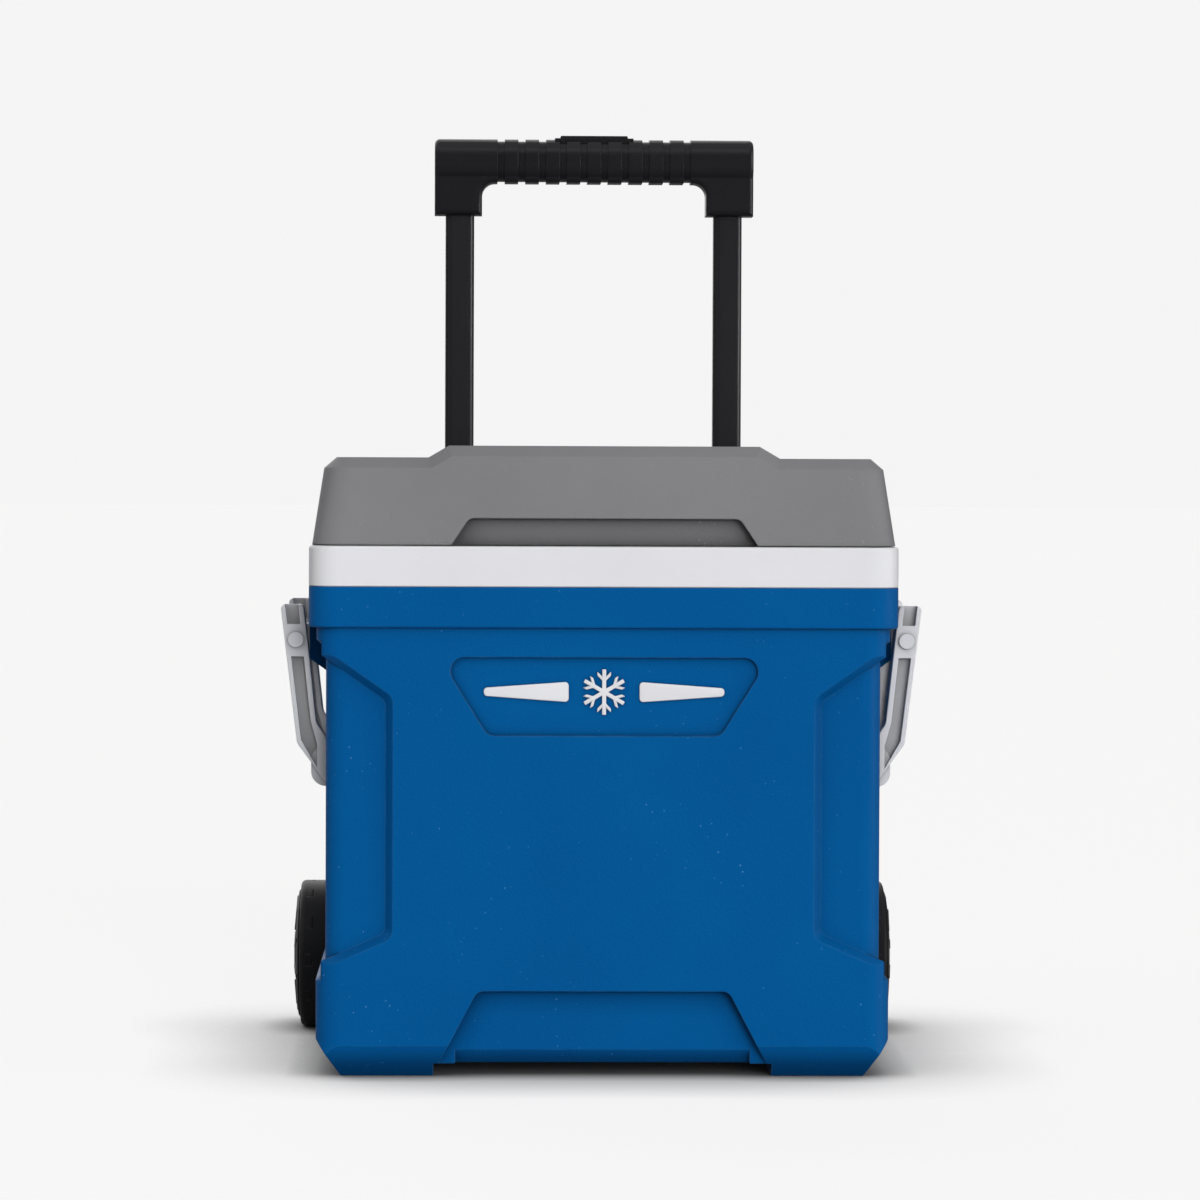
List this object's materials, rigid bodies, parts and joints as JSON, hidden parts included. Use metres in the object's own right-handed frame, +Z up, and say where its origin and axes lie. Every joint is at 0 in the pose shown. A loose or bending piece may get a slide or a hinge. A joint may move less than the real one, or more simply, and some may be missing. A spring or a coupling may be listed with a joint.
{
  "type": "wheeled cooler",
  "caption": "Hard-sided cool box on wheels with a hinged lid, side bail handles and a telescoping pull handle with a release button.",
  "frame": {"origin": "centre of the cooler's box, at ground level", "axes": "+X to the right seen from the front, +Y to the back where the handle and wheels are, +Z up"},
  "size_m": [0.4152, 0.3465, 0.6188],
  "materials": {
    "blue_plastic": "satin pebbled plastic",
    "white_plastic": "satin",
    "grey_plastic": "satin pebbled plastic",
    "black_plastic": "satin",
    "grip_plastic": "matte",
    "black_tube": "satin black coating",
    "steel": "satin",
    "screw_steel": "satin",
    "nylon": "satin",
    "tyre_rubber": "matte",
    "foam": "matte"
  },
  "bodies": {
    "tub": {"axle": "steel", "axle_carrier": "black_plastic", "axle_clips": "steel", "axle_washers": "steel", "body_foam": "foam", "bracket_screws": "screw_steel", "carrier_screws": "screw_steel", "front_badge": "white_plastic", "hinge_base_screws": "screw_steel", "hinge_pin": "steel", "inner_liner": "white_plastic", "left_front_pivot_bracket": "white_plastic", "left_guide_bush": "black_plastic", "left_guide_tube": "black_tube", "left_pivot_pins": "steel", "left_rear_pivot_bracket": "white_plastic", "lid_hinge_base": "grey_plastic", "outer_shell": "blue_plastic", "pivot_bracket_screws": "screw_steel", "right_front_pivot_bracket": "white_plastic", "right_guide_bush": "black_plastic", "right_guide_tube": "black_tube", "right_pivot_pins": "steel", "right_rear_pivot_bracket": "white_plastic", "upper_tube_bracket": "black_plastic"},
    "lid": {"lid_top": "grey_plastic", "lid_liner": "white_plastic", "lid_foam": "foam", "lid_hinge_leaf": "grey_plastic", "hinge_leaf_screws": "screw_steel"},
    "left_bail": {"left_bail": "white_plastic"},
    "right_bail": {"right_bail": "white_plastic"},
    "handle": {"grip_front_half": "grip_plastic", "grip_rear_half": "grip_plastic", "grip_screws": "screw_steel", "button_bezel": "black_plastic", "left_inner_tube": "black_tube", "left_lock_housing": "nylon", "right_inner_tube": "black_tube", "right_lock_housing": "nylon"},
    "button": {"push_button": "black_plastic", "button_spring": "steel", "release_yoke": "steel", "left_release_rod": "steel", "right_release_rod": "steel"},
    "left_lock": {"left_lock_pin": "steel"},
    "right_lock": {"right_lock_pin": "steel"},
    "left_wheel": {"left_tyre": "tyre_rubber", "left_hub": "black_plastic", "left_wheel_bush": "nylon", "left_wheel_cap": "black_plastic"},
    "right_wheel": {"right_tyre": "tyre_rubber", "right_hub": "black_plastic", "right_wheel_bush": "nylon", "right_wheel_cap": "black_plastic"}
  },
  "joints": [
    {"name": "lid_hinge", "type": "hinge", "parent": "tub", "child": "lid", "pos_m": [0, 0.12975, 0.3941], "axis": [-1, 0, 0], "range_deg": [0, 90]},
    {"name": "left_bail_hinge", "type": "hinge", "parent": "tub", "child": "left_bail", "pos_m": [-0.198, -0.02325, 0.276], "axis": [0, 1, 0], "range_deg": [0, 90]},
    {"name": "right_bail_hinge", "type": "hinge", "parent": "tub", "child": "right_bail", "pos_m": [0.198, -0.02325, 0.276], "axis": [0, -1, 0], "range_deg": [0, 90]},
    {"name": "handle_slide", "type": "slide", "parent": "tub", "child": "handle", "axis": [0, 0, 1], "range_m": [-0.226, 0]},
    {"name": "button_press", "type": "slide", "parent": "handle", "child": "button", "axis": [0, 0, -1], "range_m": [0, 0.004], "stiffness_N_per_m": 1000, "springref_m": -0.004, "deforming": ["button_spring"]},
    {"name": "left_lock_slide", "type": "slide", "parent": "handle", "child": "left_lock", "axis": [1, 0, 0], "range_m": [0, 0.003]},
    {"name": "right_lock_slide", "type": "slide", "parent": "handle", "child": "right_lock", "axis": [-1, 0, 0], "range_m": [0, 0.003]},
    {"name": "left_wheel_spin", "type": "hinge", "parent": "tub", "child": "left_wheel", "pos_m": [-0.1866, 0.12275, 0.0505], "axis": [1, 0, 0], "continuous": true},
    {"name": "right_wheel_spin", "type": "hinge", "parent": "tub", "child": "right_wheel", "pos_m": [0.1866, 0.12275, 0.0505], "axis": [1, 0, 0], "continuous": true}
  ],
  "couplings": [
    {"joint": "left_lock_slide", "follows": "button_press", "ratio": 0.75},
    {"joint": "right_lock_slide", "follows": "button_press", "ratio": 0.75}
  ]
}
